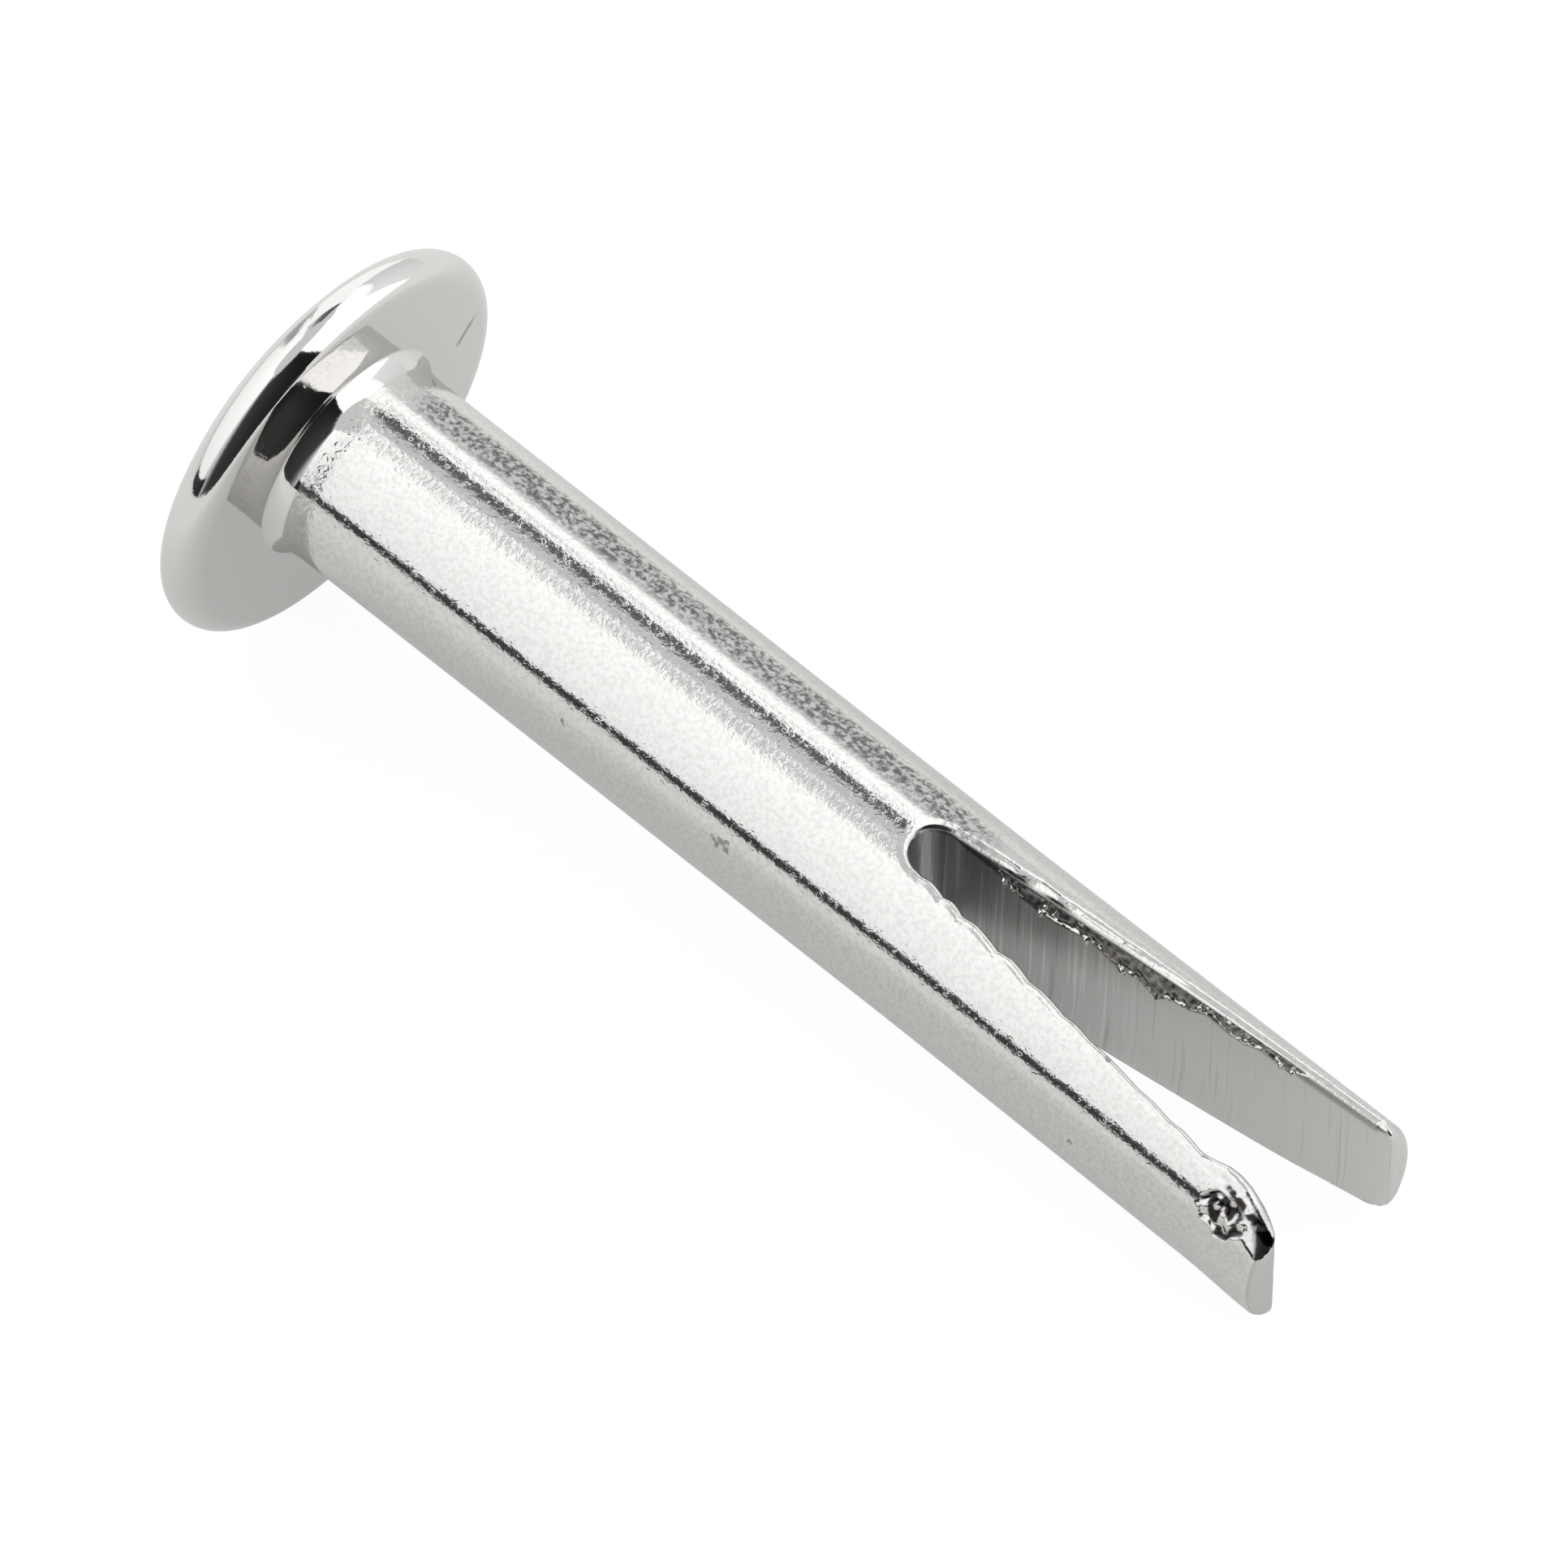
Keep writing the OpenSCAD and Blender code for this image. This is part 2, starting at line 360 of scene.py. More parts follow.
def surface_net(field, grid):
    """Quads over the zero level of a field on a bent grid, each vertex drawn onto the level.

    Returns the vertices, the quads and the cell that each vertex came from.
    """
    f = unpinched(field(grid))
    inside = f < 0
    shape = tuple(n - 1 for n in f.shape)
    total = np.zeros(shape + (3,))
    count = np.zeros(shape)
    corners = [(i, j, k) for i in (0, 1) for j in (0, 1) for k in (0, 1)]

    def part(a, o):
        return a[o[0] : o[0] + shape[0], o[1] : o[1] + shape[1], o[2] : o[2] + shape[2]]

    for a in corners:
        for axis in range(3):
            if a[axis]:
                continue
            b = list(a)
            b[axis] = 1
            fa, fb = part(f, a), part(f, b)
            cross = part(inside, a) != part(inside, b)
            t = np.where(cross, fa / np.where(cross, fa - fb, 1), 0)
            pt = part(grid, a) + t[..., None] * (part(grid, b) - part(grid, a))
            total += np.where(cross[..., None], pt, 0)
            count += cross
    # a vertex starts in the middle of its cell's crossings, then moves onto the level
    used = count > 0
    index = np.full(shape, -1)
    index[used] = np.arange(used.sum())
    verts = total[used] / count[used][:, None]
    cells = np.argwhere(used)
    boxes = np.stack([part(grid, a)[used] for a in corners])
    low, high = boxes.min(0), boxes.max(0)
    slack = DRAW_SLACK * (high - low)
    for _ in range(DRAW_STEPS):
        g = gradient(field, verts)
        d = field(verts)
        step = -(d / np.maximum((g * g).sum(-1), LEAST_SLOPE))[:, None] * g
        verts = np.clip(verts + step, low - slack, high + slack)
    # a quad round each grid edge that crosses the level
    quads = []
    for axis in range(3):
        i, j = [n for n in range(3) if n != axis]
        lo = [slice(None)] * 3
        hi = [slice(None)] * 3
        lo[axis], hi[axis] = slice(0, -1), slice(1, None)
        a, b = inside[tuple(lo)], inside[tuple(hi)]
        inner = np.zeros_like(a)
        mid = [slice(None)] * 3
        mid[i] = mid[j] = slice(1, -1)
        inner[tuple(mid)] = True
        edge = np.argwhere((a != b) & inner)
        out = a[tuple(edge.T)]
        ring = []
        for di, dj in ((-1, -1), (0, -1), (0, 0), (-1, 0)):
            e = edge.copy()
            e[:, i] += di
            e[:, j] += dj
            ring.append(index[tuple(e.T)])
        q = np.stack(ring, -1)
        flip = out if axis != 1 else ~out
        q[~flip] = q[~flip][:, ::-1]
        quads.append(q)
    return verts, np.concatenate(quads), cells


def spaced(*stops):
    """Places from (start, step) stops to a last stop that is a plain number."""
    out = []
    for (a, step), nxt in zip(stops[:-1], stops[1:]):
        b = nxt[0] if isinstance(nxt, tuple) else nxt
        n = max(1, round((b - a) / step))
        out.extend(a + (b - a) * i / n for i in range(n))
    return np.array(out + [stops[-1]])


START = 12.0  # where the slotted end is sewn to the plain shank
PAST = 0.12  # how far the grid runs past the tips
# Grid planes beside the slot's walls, and beside the prongs' upper and lower edges
NEAR_WALL = spaced((-0.2, 0.05), (-0.1, 0.035), (0.11, 0.06), 0.29)
NEAR_EDGE = spaced((-0.84, 0.08), (-0.6, 0.05), (-0.2, 0.031), (0.11, 0.045), 0.2)
NEAR_FOOT = spaced((-0.12, 0.05), (0.1, 0.1), 0.3)
OUTER_Y = 2.04
OUTER_PLANES, SLOT_PLANES, MIDDLE_PLANES = 14, 7, 15
ALONG = spaced((START - 0.1, 0.1), (START, 0.06), (SLOT_X - SLOT_R - 0.2, 0.034), LENGTH + PAST)


def bent_grid():
    """Grid whose planes follow the slot's walls and the prongs' edges."""
    grid = []
    for x in ALONG:
        gap, height = slot_gap(max(x, SLOT_X)), half_height(max(x, SLOT_X))
        half = gap + NEAR_WALL
        half = np.concatenate([half, np.linspace(half[-1], OUTER_Y, OUTER_PLANES)[1:]])
        between = np.linspace(-half[0], half[0], SLOT_PLANES)[1:-1]
        ys = np.concatenate([-half[::-1], between, half])
        lower, upper = NEAR_FOOT - height, NEAR_EDGE + height
        between = np.linspace(lower[-1], upper[0], MIDDLE_PLANES)[1:-1]
        zs = np.concatenate([lower, between, upper])
        grid.append(np.stack(np.broadcast_arrays(x, ys[:, None], zs[None, :]), -1))
    return np.stack(grid)


net_v, net_q, net_cells = surface_net(prong_field, bent_grid())

# ---------------------------------------------------------------------------------------------
# Head and plain shank, turned from one profile
# ---------------------------------------------------------------------------------------------
ROUND = 256  # points round each ring
DOME_STEPS, RIM_STEPS, FACE_STEPS, FILLET_STEPS, FLARE_STEPS, SHANK_STEPS = 22, 32, 10, 6, 21, 24
SEAM = 0.2  # gap between the turned part and START, filled when the two are sewn
ROOT_R = 0.05  # fillet where the flare meets the bearing face
# Slope of the flare in degrees, against the axis, from its foot to where the shank runs plain
FLARE = ((0.03, 41), (0.15, 26), (0.3, 15), (FLARE_L, 6), (0.5, 3.5), (0.66, 0))
FOOT_X, PLAIN_X = FLARE[0][0], FLARE[-1][0]


def turned_profile():
    """(x, radius, normal x, normal radius, share of the head's offset) from the crown to START."""
    rows = []
    for i in range(1, DOME_STEPS):
        a = DOME_ANGLE * i / DOME_STEPS
        s, c = math.sin(a), math.cos(a)
        rows.append((DOME_R - HEAD_H - DOME_R * c, DOME_R * s, -c, s, 1))
    for i in range(RIM_STEPS + 1):
        a = -(math.pi / 2 - DOME_ANGLE) + (math.pi - DOME_ANGLE) * i / RIM_STEPS
        s, c = math.sin(a), math.cos(a)
        rows.append((RIM_R * (s - 1), RIM_AT + RIM_R * c, s, c, 1))
    # the flare's slopes summed up from the plain shank, and its fillet into the bearing face
    at = np.linspace(FOOT_X, PLAIN_X, FLARE_STEPS + 1)
    slope = np.radians(read_off(FLARE, at))
    drop = (np.tan(slope[1:]) + np.tan(slope[:-1])) / 2 * np.diff(at)
    flare = SHANK_R + np.concatenate([np.cumsum(drop[::-1])[::-1], [0]])
    turn_in = slope[0]
    fillet_x = ROOT_R * (1 - math.sin(turn_in))
    fillet = flare[0] + (FOOT_X - fillet_x) * math.tan(turn_in) + ROOT_R * math.cos(turn_in)
    for i in range(1, FACE_STEPS):
        t = i / FACE_STEPS
        rows.append((0, RIM_AT + (fillet - RIM_AT) * t, 1, 0, 1 - t))
    for i in range(FILLET_STEPS):
        a = math.pi / 2 + (turn_in - math.pi / 2) * i / FILLET_STEPS
        s, c = math.sin(a), math.cos(a)
        rows.append((ROOT_R - ROOT_R * s, fillet - ROOT_R * c, s, c, 0))
    for x, r, a in zip(at, flare, slope):
        rows.append((x, r, math.sin(a), math.cos(a), 0))
    for i in range(1, SHANK_STEPS + 1):
        rows.append((PLAIN_X + (START - SEAM - PLAIN_X) * i / SHANK_STEPS, SHANK_R, 0, 1, 0))
    return rows


rows = turned_profile()
angle = np.arange(ROUND) * 2 * math.pi / ROUND
ring_y, ring_z = np.sin(angle), np.cos(angle)
turned_v = [np.array([[-HEAD_H, -HEAD_OFFSET, 0.0]])]
turned_n = [np.array([[-1.0, 0, 0]])]
for x, r, nx, nr, share in rows:
    turned_v.append(np.stack([np.full(ROUND, x), r * ring_y - HEAD_OFFSET * share, r * ring_z], -1))
    turned_n.append(np.stack([np.full(ROUND, nx), nr * ring_y, nr * ring_z], -1))
turned_v, turned_n = np.concatenate(turned_v), np.concatenate(turned_n)

ids = 1 + np.arange(len(rows) * ROUND).reshape(len(rows), ROUND)
nxt = np.roll(ids, -1, 1)
faces = [(0, a, b) for a, b in zip(ids[0].tolist(), nxt[0].tolist())]
faces += np.stack([ids[:-1], ids[1:], nxt[1:], nxt[:-1]], -1).reshape(-1, 4).tolist()

# ---------------------------------------------------------------------------------------------
# Both parts in one mesh, sewn together round the shank at START
# ---------------------------------------------------------------------------------------------
base = len(turned_v)
net_n = gradient(prong_field, net_v, h=0.0015)
net_n /= np.linalg.norm(net_n, axis=1)[:, None]
faces += (net_q + base).tolist()

edge = np.where(net_cells[:, 0] == 0)[0]
edge_angle = np.arctan2(net_v[edge, 1], net_v[edge, 2]) % (2 * math.pi)
order = np.argsort(edge_angle)
edge, edge_angle = edge[order], edge_angle[order]
# the last turned ring and the net's open edge, each closed by its own first point
last, rim = ids[-1].tolist(), (edge + base).tolist()
last, rim = last + last[:1], rim + rim[:1]
turned_at = np.append(angle, 2 * math.pi)
net_at = np.append(edge_angle, 2 * math.pi + edge_angle[0])
i = j = 0
while i < ROUND or j < len(edge):
    if j == len(edge) or (i < ROUND and turned_at[i + 1] <= net_at[j + 1]):
        faces.append((last[i], rim[j], last[i + 1]))
        i += 1
    else:
        faces.append((last[i], rim[j], rim[j + 1]))
        j += 1

verts = np.concatenate([turned_v, net_v])
normals = np.concatenate([turned_n, net_n])
place = np.array(LAID.to_3x3())
verts_m = verts / 1000 @ place.T + np.array(LAID.translation)
verts_m = np.clip(verts_m, np.array(LOW), np.array(HIGH))  # stays inside the CAD part's box
normals_m = normals @ place.T

mesh = bpy.data.meshes.new("split_rivet")
mesh.from_pydata(verts_m.tolist(), [], faces)
mesh.validate(verbose=True)
mesh.polygons.foreach_set("use_smooth", [True] * len(mesh.polygons))
mesh.normals_split_custom_set_from_vertices(normals_m.tolist())
mesh.update()
piece = bpy.data.objects.new("split_rivet", mesh)
bpy.context.scene.collection.objects.link(piece)
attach(piece, "root")
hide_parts("rivet")

# ---------------------------------------------------------------------------------------------
# What kind of surface each point is on, for the material
# ---------------------------------------------------------------------------------------------


def point_data(mesh, name, values):
    """Store a number or a vector for each point of a mesh."""
    kind, key = ("FLOAT_VECTOR", "vector") if values.ndim > 1 else ("FLOAT", "value")
    data = mesh.attributes.new(name, kind, "POINT").data
    data.foreach_set(key, values.astype(np.float32).ravel())


ROOT_ENDS = 13.3  # up to here the slot's closed end faces along the rivet as well
BLACK = 2.4  # darkening of the stain in the patch's hollows and of the painted shade beside the ridge, where 1 is a stain
# Painted shade on the near and far prong's end face, and on a line along that face's edge
END_FACE_X = (21.2, 21.5)
END_SHADE, END_SHADE_LINE = (0.55, 0.18), (0.35, 0.36)
LINE_FACES, LINE_WIDE = 0.42, 0.1  # how far the metal faces ahead at that line
# Painted shade, a dark band beside the ridge: distances from it at which it sets in and ends, and
# its place
BAND_IN, BAND_OUT, BAND_X, BAND_Y = (0.02, 0.05), (0.16, 0.1), (20.7, 20.9), -1.15


def wall_share():
    """Share of slot wall, 0 to 1, at each point of the slotted end."""
    facing = -net_n[:, 1] * np.sign(net_v[:, 1])
    facing = np.where(net_v[:, 0] < ROOT_ENDS, np.maximum(facing, net_n[:, 0]), facing)
    return smooth(0.5, 0.9, facing) * smooth(0.14, 0.1, slot_field(net_v))


def blotch_and_shade_share(walls):
    """Share of darkening at each point of the slotted end: painted shade on the torn strip, the end
    faces and beside the ridge, and stain blotches.
    """
    x, y, z = net_v.T
    near = y < 0
    below = half_height(x) - z
    # painted shade: the torn strip under the far lip is darkened
    torn = smooth(0.16, 0.24, below) * smooth(0.02, 0.06, read_off(TORN, x) - below)
    torn = torn * walls * ~near
    # painted shade: the end faces are a little darker, with a darker line along their edge
    plain, line = np.where(near, *END_SHADE), np.where(near, *END_SHADE_LINE)
    ahead = net_n[:, 0]
    line = line * np.exp(-(((ahead - LINE_FACES) / LINE_WIDE) ** 2))
    tip = (plain * smooth(0.3, 0.45, ahead) + line) * smooth(*END_FACE_X, x)
    # black blotches of stain on the near prong's rough patch, and a black band of painted shade
    # beside its ridge
    blotch = patch_on(net_v) * smooth(-0.2, 0.05, rough(net_v * 0.75 + 1.3))
    off = ridge_field(net_v)
    band = smooth(*BAND_IN, off) * smooth(*BAND_OUT, off) * smooth(*BAND_X, x) * (y < BAND_Y)
    band = band * smooth(-0.5, 0.1, rough(net_v))
    return np.maximum(np.maximum(torn, tip), BLACK * np.maximum(blotch, band))


walls = wall_share()
plain_part = np.zeros(base)
point_data(mesh, "own", verts)
point_data(mesh, "wall", np.concatenate([plain_part, walls]))
point_data(mesh, "blotch_and_shade", np.concatenate([plain_part, blotch_and_shade_share(walls)]))

# ---------------------------------------------------------------------------------------------
# Nickel plate
# ---------------------------------------------------------------------------------------------


class Nodes:
    """Short calls for building a node tree."""

    def __init__(self, tree):
        self.tree = tree
        tree.nodes.clear()

    def add(self, kind, inputs=None, **settings):
        node = self.tree.nodes.new(kind)
        for key, value in settings.items():
            setattr(node, key, value)
        for key, value in (inputs or {}).items():
            self.feed(node.inputs[key], value)
        return node

    def feed(self, socket, value):
        if isinstance(value, bpy.types.NodeSocket):
            self.tree.links.new(value, socket)
        else:
            socket.default_value = value

    def math(self, op, a, b=0.0, c=0.0, clamp=False):
        inputs = {0: a, 1: b, 2: c}
        return self.add("ShaderNodeMath", inputs, operation=op, use_clamp=clamp).outputs[0]

    def step(self, lo, hi, x, to=(0.0, 1.0)):
        """Smooth step from to[0] at lo to to[1] at hi."""
        node = self.add("ShaderNodeMapRange", {0: x, 1: lo, 2: hi, 3: to[0], 4: to[1]})
        node.interpolation_type = "SMOOTHSTEP"
        return node.outputs[0]

    def vector(self, op, a, b=(0.0, 0.0, 0.0)):
        """A vector operation. A dot product, a distance and a length come out as a number."""
        node = self.add("ShaderNodeVectorMath", {0: a, 1: b}, operation=op)
        return node.outputs["Value" if op in ("DOT_PRODUCT", "DISTANCE", "LENGTH") else "Vector"]

    def share(self, name):
        """A number that the mesh stores for each of its points."""
        return self.add("ShaderNodeAttribute", attribute_name=name).outputs["Fac"]

    def product(self, first, *others):
        for other in others:
            first = self.math("MULTIPLY", first, other)
        return first

    def noise(self, where, scale, detail=2.0, rough=0.5, stretch=None):
        if stretch:
            where = self.vector("MULTIPLY", where, stretch)
        inputs = {"Vector": where, "Scale": scale, "Detail": detail, "Roughness": rough}
        return self.add("ShaderNodeTexNoise", inputs).outputs[0]


def material_nodes(name):
    """A new material and its empty node tree."""
    material = bpy.data.materials.new(name)
    material.use_nodes = True
    return material, Nodes(material.node_tree)


# the plate's colour, and the darker colour that stains, the nick, the pits, painted shade and
# painted reflection mix in
PLATE, STAIN_AND_SHADE_COLOUR = (0.84, 0.83, 0.815, 1), (0.1, 0.09, 0.085, 1)
BUMP_M = 12e-6
HEAD_ROUGH, SHANK_ROUGH, WALL_ROUGH = 0.05, 0.085, 0.2
# Grain on the near side, towards the top and on the far side of the shank, and on the head
GRAIN_NEAR, GRAIN_TOP, GRAIN_FAR, GRAIN_HEAD = 0.2, 0.5, 0.2, 0.04
# Nick in the bearing face: direction across it and along it, its place and its depth
NICK_ACROSS, NICK_ALONG, NICK_AT, NICK_DEPTH = (0, 0.727, -0.686), (0, 0.686, 0.727), 1.753, 1.6
# Pits in the plate: place in the rivet's own frame, and radius
PITS = (
    ((6.43, -1.75, 0.6), 0.05), ((9.94, -1.727, 0.663), 0.08), ((10.05, -1.71, 0.71), 0.07),
    ((9.8, -1.74, 0.62), 0.06), ((9.9, -1.76, 0.56), 0.06), ((10.1, -1.745, 0.61), 0.05),
    ((17.85, -1.88, 0.209), 0.05), ((17.8, -0.95, 1.62), 0.07),
)
PIT_UNEVEN, PIT_SHIFT = 0.24, -0.14  # how far the grain shifts a pit's edge
# Darkening, 0 to 1: of all metal, of the painted shade at the slot's root, of the lines on its
# walls, of the grain
LEAST_DULL, ROOT_SHADE, ROOT_SHADE_TO = 0.005, 0.47, 17.8
BRIGHT_LINE, DARK_LINE, GRAIN_DULL = -0.26, 0.18, (0.12, -0.01)
BLOTCH_AND_SHADE_DARK, NICK_DULL, PIT_DULL, MOTTLE_REFLECTION_DARK = 0.42, 0.55, 0.6, 0.85
# Where the painted reflection, a mottled strip, starts and ends, across and along, each with a soft
# edge
MOTTLE_ACROSS, MOTTLE_ALONG = ((0.36, 0.62), (1.2, 1.0)), ((0.6, 1.3), (14.2, 12.9))
BLACK_LEVEL = 0.35  # what is left of the colour in the darkest stain blotches and painted shade

nickel, n = material_nodes("nickel")
where = n.add("ShaderNodeAttribute", attribute_name="own").outputs["Vector"]
on_wall, blotch_and_shade = n.share("wall"), n.share("blotch_and_shade")
along, across = n.add("ShaderNodeSeparateXYZ", {0: where}).outputs[:2]
on_shank = n.math("MULTIPLY", n.step(0.15, 0.6, along), n.math("SUBTRACT", 1.0, on_wall))

# hills: fine grain and specks on the shank, drawn lines on the slot's walls
grain = n.noise(where, 12.0, 2.5, 0.55)
hills = n.math("ADD", n.noise(where, 1.8, 1.0, 0.5), grain)
specks = n.step(0.58, 0.72, n.noise(where, 10.0, 1.0, 0.5, stretch=(-1.0, 1.0, 1.0)))
hills = n.math("MULTIPLY_ADD", specks, 0.5, hills)
coarse = n.math(
    "ADD",
    n.step(-0.2, -0.02, across, (GRAIN_NEAR, GRAIN_TOP)),
    n.step(0.08, 0.2, across, (0.0, GRAIN_FAR - GRAIN_TOP)),
)
hills = n.math("MULTIPLY", hills, n.math("MAXIMUM", n.product(on_shank, coarse), GRAIN_HEAD))
lines = n.noise(where, 1.0, 2.0, 0.6, stretch=(14.0, 0.5, 0.28))
hills = n.math("MULTIPLY_ADD", n.product(lines, on_wall), 0.5, hills)

# the nick, straight across the bearing face's far side
off = n.vector("DOT_PRODUCT", where, NICK_ACROSS)
off = n.math("ABSOLUTE", n.math("SUBTRACT", off, NICK_AT))
run = n.vector("DOT_PRODUCT", where, NICK_ALONG)
nick = n.product(
    n.step(0.09, 0.01, off),
    n.step(1.9, 2.1, run),
    n.step(2.7, 2.4, run),
    n.step(0.03, 0.01, along),
    n.step(-0.03, -0.01, along),
)
hills = n.math("MULTIPLY_ADD", nick, -NICK_DEPTH, hills)
bump = n.add("ShaderNodeBump", {"Strength": 1.0, "Distance": BUMP_M, "Height": hills})
rough_here = n.step(0.0, 1.0, on_shank, (HEAD_ROUGH, SHANK_ROUGH))
rough_here = n.math("MULTIPLY_ADD", on_wall, WALL_ROUGH, rough_here)

# darkening: painted shade on the wall, deepest towards the slot's root, and the wall's lines
dull_and_shade = n.step(SLOT_X - 0.2, ROOT_SHADE_TO, along, (ROOT_SHADE, 0.0))
dull_and_shade = n.math("MULTIPLY_ADD", on_wall, dull_and_shade, LEAST_DULL)
streak = n.math(
    "ADD",
    n.step(0.55, 0.66, lines, (0.0, BRIGHT_LINE)),
    n.step(0.42, 0.3, lines, (0.0, DARK_LINE)),
)
dull_and_shade = n.math("ADD", dull_and_shade, n.product(streak, on_wall))
# ... the shank's grain
grained = n.product(n.step(0.36, 0.6, grain, GRAIN_DULL), on_shank)
dull_and_shade = n.math("ADD", dull_and_shade, grained, clamp=True)
# ... a dark mottled strip along the far side, a painted reflection of the darker band the metal
# shows there
mottle = n.product(
    *(n.step(*edge, across) for edge in MOTTLE_ACROSS),
    *(n.step(*edge, along) for edge in MOTTLE_ALONG),
    n.step(0.34, 0.64, n.noise(where, 10.0, 2.5, 0.6), (0.0, MOTTLE_REFLECTION_DARK)),
)
dull_and_shade = n.math("MAXIMUM", dull_and_shade, mottle)
# ... painted shade and stain blotches of the slotted end, nick and pits
dull_and_shade = n.math("MAXIMUM", dull_and_shade, n.math("MULTIPLY", blotch_and_shade, BLOTCH_AND_SHADE_DARK))
dull_and_shade = n.math("MAXIMUM", dull_and_shade, n.math("MULTIPLY", nick, NICK_DULL))
uneven = n.math("MULTIPLY_ADD", grain, PIT_UNEVEN, PIT_SHIFT)
for spot, size in PITS:
    away = n.math("ADD", n.vector("DISTANCE", where, spot), uneven)
    dull_and_shade = n.math("MAXIMUM", dull_and_shade, n.step(size, size * 0.3, away, (0.0, PIT_DULL)))
colour = n.add("ShaderNodeMix", {"Factor": dull_and_shade, "A": PLATE, "B": STAIN_AND_SHADE_COLOUR}, data_type="RGBA")
# ... and black in the stain blotches and in the painted shade beside the ridge
black = n.step(0.9, 1.7, blotch_and_shade, (1.0, BLACK_LEVEL))
colour = n.vector("MULTIPLY", colour.outputs["Result"], black)
shader = n.add(
    "ShaderNodeBsdfPrincipled",
    {
        "Base Color": colour,
        "Metallic": 1.0,
        "Roughness": rough_here,
        "Normal": bump.outputs[0],
    },
)
n.add("ShaderNodeOutputMaterial", {0: shader.outputs[0]})
mesh.materials.append(nickel)

# ---------------------------------------------------------------------------------------------
# Studio: a white floor and surround, soft panels, and dark panels that only show in the metal
# ---------------------------------------------------------------------------------------------
CENTRE = np.array((0, 0, 0.0037))
PANEL_STEPS = 24
WHITE = (1, 1, 1, 1)


def panel(name, corners, soft=(0.0, 0.0, 0.0, 0.0), distance=0.6, lights=True):
    """A panel round the rivet that its metal sees, but not the camera.

    Corners go round from the lower left as (azimuth, elevation, level); soft gives the share of
    the panel over which it fades at its left, right, lower and upper edge.
    """
    a, b, c, d = (np.array(corner, float) for corner in corners)
    steps = np.linspace(0, 1, PANEL_STEPS + 1)
    u, v = (g.ravel()[:, None] for g in np.meshgrid(steps, steps, indexing="ij"))
    spot = (a * (1 - u) + b * u) * (1 - v) + (d * (1 - u) + c * u) * v
    az, el = np.radians(spot[:, 0]), np.radians(spot[:, 1])
    points = np.stack([np.cos(az) * np.cos(el), np.sin(az) * np.cos(el), np.sin(el)], -1)
    points = points * distance + CENTRE
    cover = np.ones(len(points))
    for edge, width in zip((u, 1 - u, v, 1 - v), soft):
        if width:
            cover *= smooth(0, width, edge[:, 0])
    grid = np.arange(len(points)).reshape(PANEL_STEPS + 1, PANEL_STEPS + 1)
    quads = np.stack([grid[:-1, :-1], grid[:-1, 1:], grid[1:, 1:], grid[1:, :-1]], -1)
    data = bpy.data.meshes.new(name)
    data.from_pydata(points.tolist(), [], quads.reshape(-1, 4).tolist())
    point_data(data, "level", spot[:, 2])
    point_data(data, "cover", cover)
    material, m = material_nodes(name)
    glow = m.add("ShaderNodeEmission", {0: WHITE, 1: m.share("level")})
    clear = m.add("ShaderNodeBsdfTransparent")
    mix = {0: m.share("cover"), 1: clear.outputs[0], 2: glow.outputs[0]}
    both = m.add("ShaderNodeMixShader", mix)
    m.add("ShaderNodeOutputMaterial", {0: both.outputs[0]})
    data.materials.append(material)
    obj = bpy.data.objects.new(name, data)
    bpy.context.scene.collection.objects.link(obj)
    obj.visible_camera = False
    obj.visible_shadow = False
    obj.visible_diffuse = lights


panel("soft_left", [(-200, 8, 0.98), (-97, 9, 0.98), (-80, 74, 1.22), (-205, 74, 1.22)])
panel("soft_right", [(17, -3, 1.25), (64, -1, 1.25), (75, 68, 1.25), (3, 72, 1.25)])
panel(
    "soft_back", [(64, 36, 1.25), (120, 36, 1.25), (113, 58, 1.25), (64, 68, 1.25)],
    distance=0.59,
)
panel(
    "soft_far", [(118, -3, 1.1), (155, -3, 1.1), (158, 52, 1.1), (118, 52, 1.1)],
    distance=0.59,
)
panel(
    "grey_back", [(62, -3, 0.85), (119, -3, 0.66), (119, 40, 0.72), (62, 40, 0.9)],
    soft=(0, 0, 0, 0.15), distance=0.58,
)
panel(
    "dark_top", [(113, 52, 0.05), (150, 50, 0.25), (150, 67, 0.25), (116, 68, 0.05)],
    soft=(0.08, 0.3, 0.06, 0.06), distance=0.5, lights=False,
)
panel(
    "dark_gap", [(152, 3, 0.4), (170, 3, 0.4), (179, 47, 0.4), (165, 47, 0.4)],
    soft=(0.35, 0.35, 0.15, 0.2), distance=0.5, lights=False,
)
panel(
    "dark_left", [(-142, 2.5, 0.06), (-86, 0.5, 0.02), (-86, 12, 0.02), (-142, 7, 0.06)],
    soft=(0.2, 0, 0, 0), distance=0.5, lights=False,
)
panel(
    "dark_front", [(-93, 0, 0.05), (17, -4, 0.01), (3, 72, 0.01), (-80, 72, 0.07)],
    soft=(0.2, 0, 0, 0.06), distance=0.5, lights=False,
)
panel(
    "dark_near", [(-84, 0, 0.05), (12, -13, 0.015), (12, 3, 0.015), (-84, 3, 0.05)],
    soft=(0.1, 0, 0, 0), distance=0.046, lights=False,
)

# White to the camera; the metal sees the same surround and floor at lower levels
GLOSSY_LEVEL, DIFFUSE_LEVEL = 0.66, 0.8
world = bpy.data.worlds.new("surround")
bpy.context.scene.world = world
world.use_nodes = True
w = Nodes(world.node_tree)
ray = w.add("ShaderNodeLightPath").outputs
seen = w.math("ADD", ray["Is Glossy Ray"], ray["Is Transmission Ray"])
level = w.math("MULTIPLY_ADD", seen, GLOSSY_LEVEL, ray["Is Camera Ray"])
level = w.math("MULTIPLY_ADD", ray["Is Diffuse Ray"], DIFFUSE_LEVEL, level)
sky = w.add("ShaderNodeBackground", {0: WHITE, 1: level})
w.add("ShaderNodeOutputWorld", {0: sky.outputs[0]})

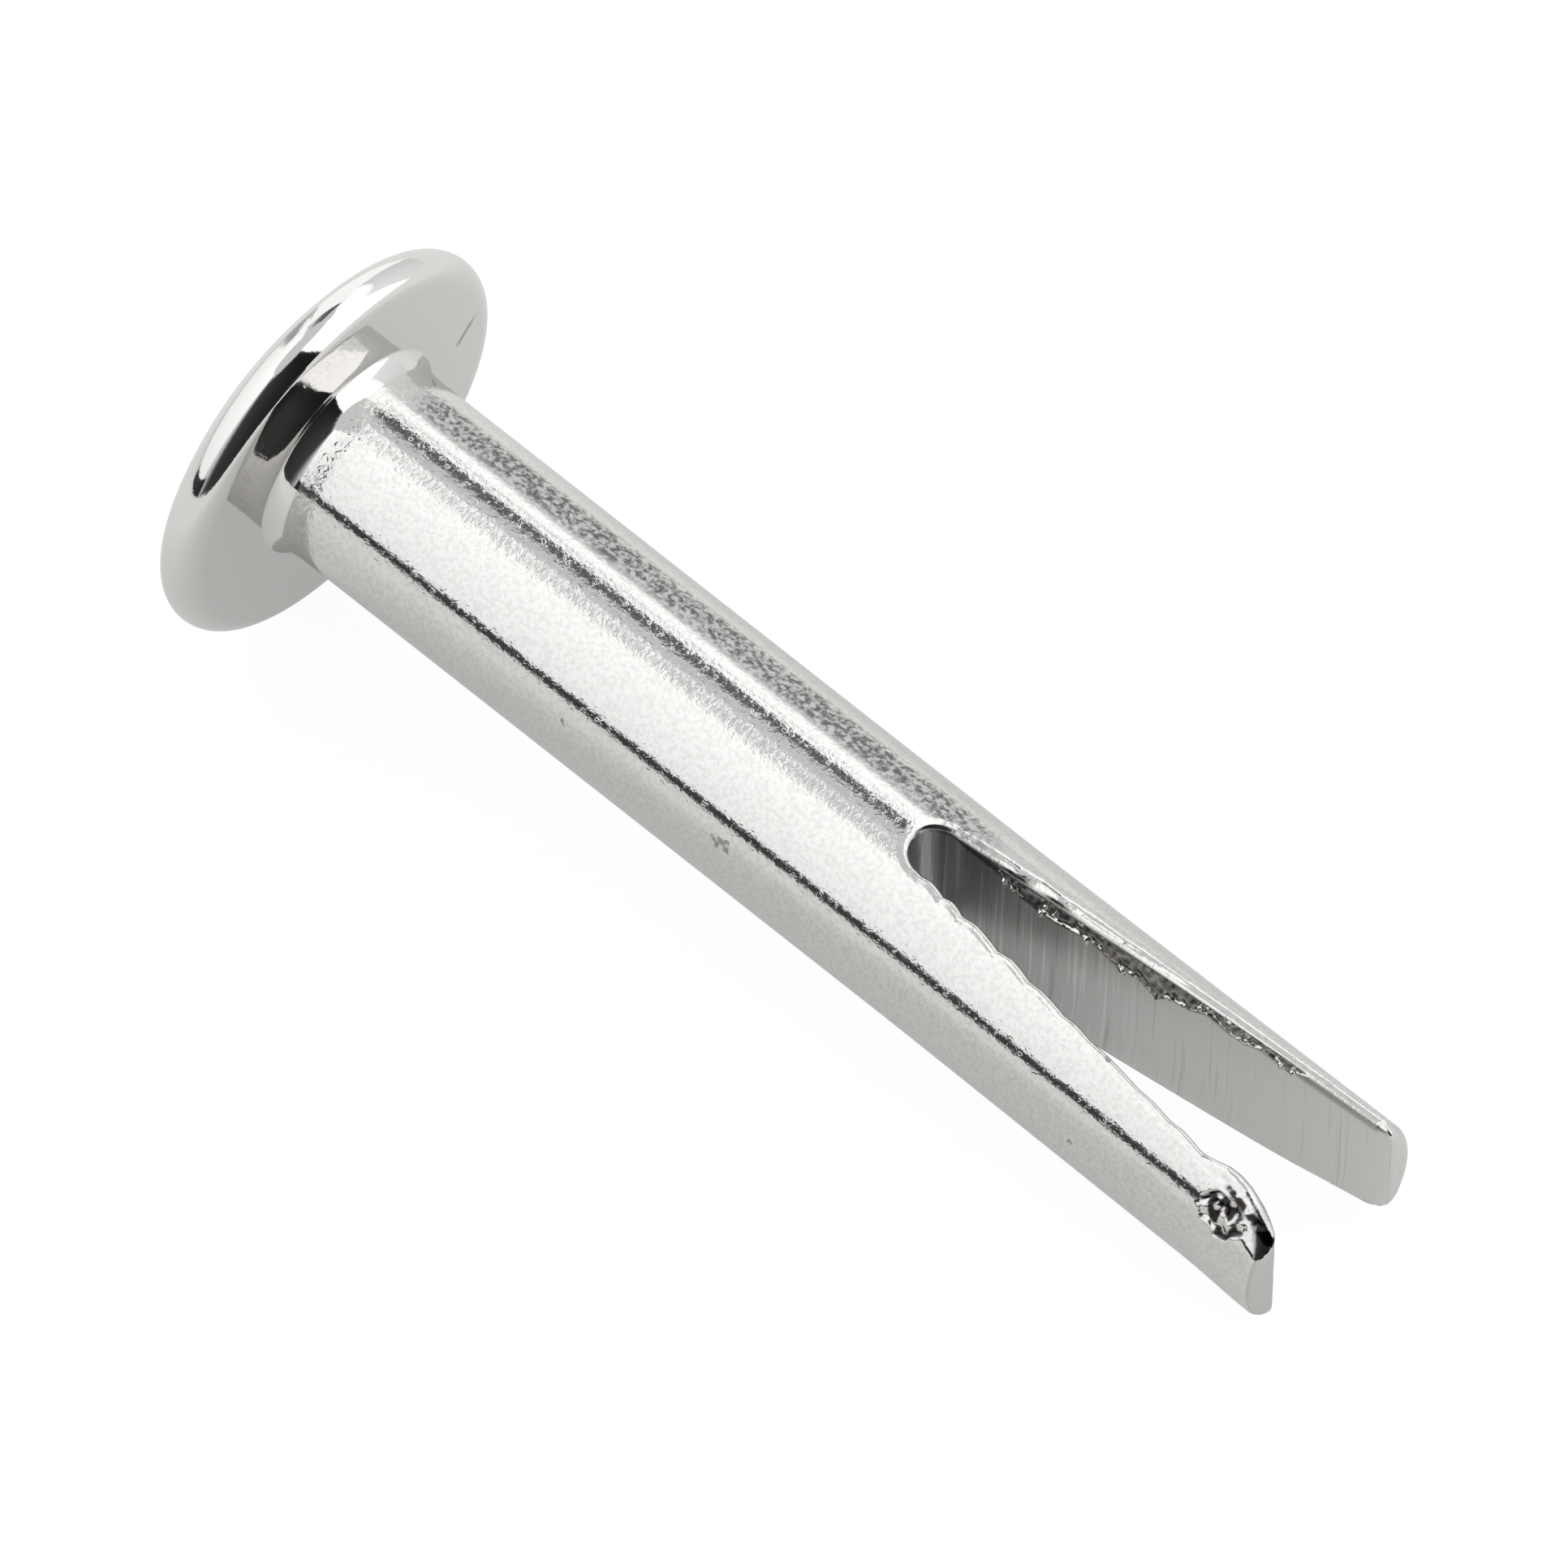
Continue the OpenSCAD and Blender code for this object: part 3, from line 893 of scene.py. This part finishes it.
FLOOR_HALF, FLOOR_BELOW = 1.5, 2e-6
CAMERA_TINT, METAL_TINT = (0.1, 0.1, 0.1, 1), (0.37, 0.366, 0.358, 1)
CAMERA_GLOW = 0.93
# Glow that the metal sees on the rivet's near and far side and what is added further off, each
# with the places in metres between which it changes. The lower glow on the near side and close to
# the rivet is a painted shadow of the rivet on the floor.
SIDE_GLOW, SIDE_AT = (0.24, 0.3), (-0.006, -0.001)
AWAY_GLOW, AWAY_AT = 0.15, (0.006, 0.024)
SECOND_SHARE = 0.5  # share of that glow in a reflection of a reflection

corners = [(x * FLOOR_HALF, y * FLOOR_HALF, 0) for x, y in ((-1, -1), (1, -1), (1, 1), (-1, 1))]
floor_mesh = bpy.data.meshes.new("floor")
floor_mesh.from_pydata(corners, [], [(0, 1, 2, 3)])
floor = bpy.data.objects.new("floor", floor_mesh)
floor.location.z = LOW.z - FLOOR_BELOW
bpy.context.scene.collection.objects.link(floor)
paper, f = material_nodes("floor")
ray = f.add("ShaderNodeLightPath").outputs
by_eye = ray["Is Camera Ray"]
seen = f.math("ADD", ray["Is Glossy Ray"], ray["Is Transmission Ray"])
spot = f.add("ShaderNodeTexCoord").outputs["Object"]
side = f.add("ShaderNodeSeparateXYZ", {0: spot}).outputs[1]
# painted shadow: the floor as the metal sees it glows less close to the rivet and on its near side
glow = f.step(*AWAY_AT, f.vector("LENGTH", spot), (0.0, AWAY_GLOW))
glow = f.math("ADD", f.step(*SIDE_AT, side, SIDE_GLOW), glow)
second = f.math("GREATER_THAN", ray["Glossy Depth"], 1.5)
kept = f.math("MULTIPLY_ADD", second, SECOND_SHARE - 1, 1.0)
glow = f.math("MULTIPLY_ADD", by_eye, CAMERA_GLOW, f.product(glow, seen, kept))
tint = f.add(
    "ShaderNodeMix", {"Factor": by_eye, "A": METAL_TINT, "B": CAMERA_TINT}, data_type="RGBA"
)
lit = f.add("ShaderNodeBsdfDiffuse", {0: tint.outputs["Result"]})
own_light = f.add("ShaderNodeEmission", {0: WHITE, 1: glow})
both = f.add("ShaderNodeAddShader", {0: lit.outputs[0], 1: own_light.outputs[0]})
f.add("ShaderNodeOutputMaterial", {0: both.outputs[0]})
floor_mesh.materials.append(paper)

bpy.context.scene.view_settings.view_transform = "Standard"
